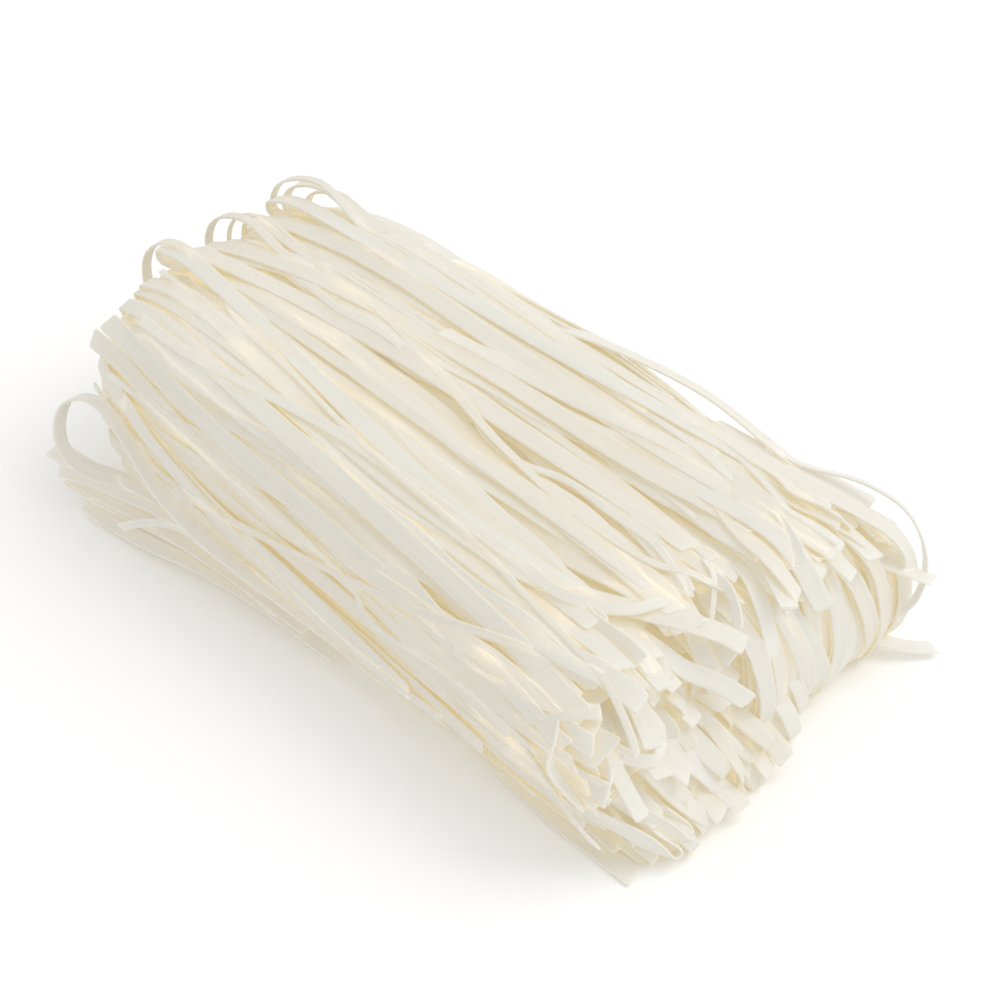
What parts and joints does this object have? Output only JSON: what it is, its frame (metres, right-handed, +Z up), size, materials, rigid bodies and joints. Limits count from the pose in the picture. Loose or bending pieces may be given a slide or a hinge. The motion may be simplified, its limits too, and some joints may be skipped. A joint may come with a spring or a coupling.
{
  "type": "bundle of dried flat rice noodles",
  "caption": "Folded bundle of dried flat rice noodles: parallel ivory ribbons looped back at one end, square-cut over folds at the other, with a few loose strands.",
  "frame": {"origin": "on the surface it rests on, under the middle of the bundle's bounding box", "axes": "+X along the strands, from the folded end to the cut end; +Y across the bundle; +Z up"},
  "size_m": [0.2228, 0.1247, 0.0654],
  "materials": {
    "noodle": "matte, slightly translucent ivory white; stands in for dried rice noodle"
  },
  "bodies": {
    "root": {"noodle_bundle": "noodle"}
  },
  "joints": []
}
